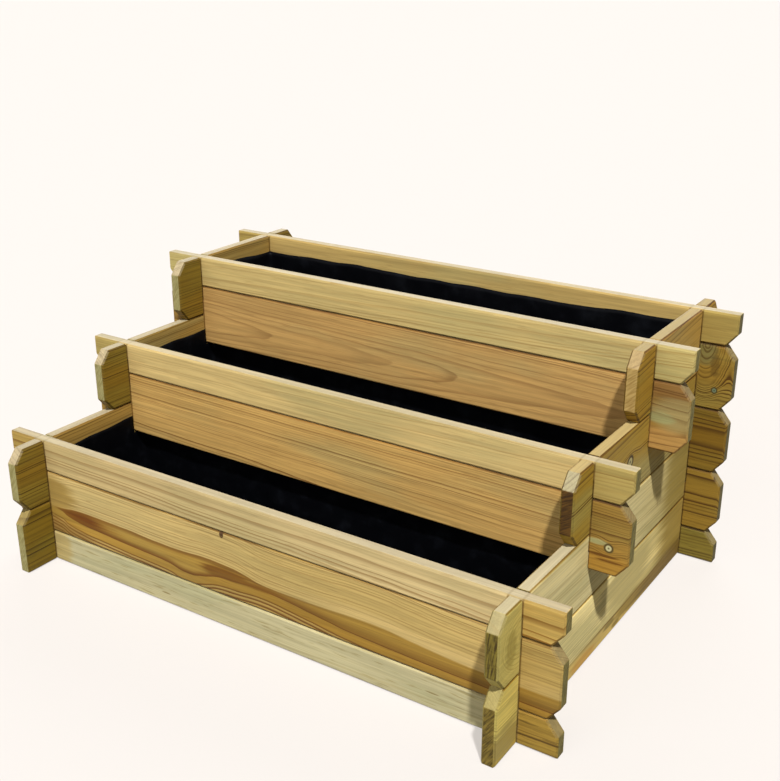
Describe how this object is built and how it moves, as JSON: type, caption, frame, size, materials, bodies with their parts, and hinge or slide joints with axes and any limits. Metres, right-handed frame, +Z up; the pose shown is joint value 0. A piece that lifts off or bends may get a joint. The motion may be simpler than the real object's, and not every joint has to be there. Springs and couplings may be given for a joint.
{
  "type": "stepped vegetable planter",
  "caption": "Stepped wooden planter of log-cabin jointed boards with chamfered ends, holding terraced lined beds for vegetables and herbs.",
  "frame": {"origin": "on the ground, under the middle of the planter's overall width and depth", "axes": "+X to the right along the long boards, +Y from the low front bed to the high back wall, +Z up"},
  "size_m": [1.204, 0.873, 0.5196],
  "materials": {
    "treated_pine": "planed pressure-treated pine, golden tan with brown grain and a green-grey cast on the ends",
    "liner_film": "black polyethylene film, soft sheen, lightly creased"
  },
  "bodies": {
    "root": {"front_base_rail": "treated_pine", "front_board": "treated_pine", "front_top_rail": "treated_pine", "middle_riser_board": "treated_pine", "middle_riser_top_rail": "treated_pine", "upper_riser_board": "treated_pine", "upper_riser_top_rail": "treated_pine", "back_base_rail": "treated_pine", "back_board_1": "treated_pine", "back_board_2": "treated_pine", "back_board_3": "treated_pine", "back_top_rail": "treated_pine", "left_side_board_1": "treated_pine", "left_side_board_2": "treated_pine", "left_side_board_3": "treated_pine", "left_side_board_4": "treated_pine", "right_side_board_1": "treated_pine", "right_side_board_2": "treated_pine", "right_side_board_3": "treated_pine", "right_side_board_4": "treated_pine", "front_bed_liner": "liner_film", "middle_bed_liner": "liner_film", "top_bed_liner": "liner_film"}
  },
  "joints": []
}
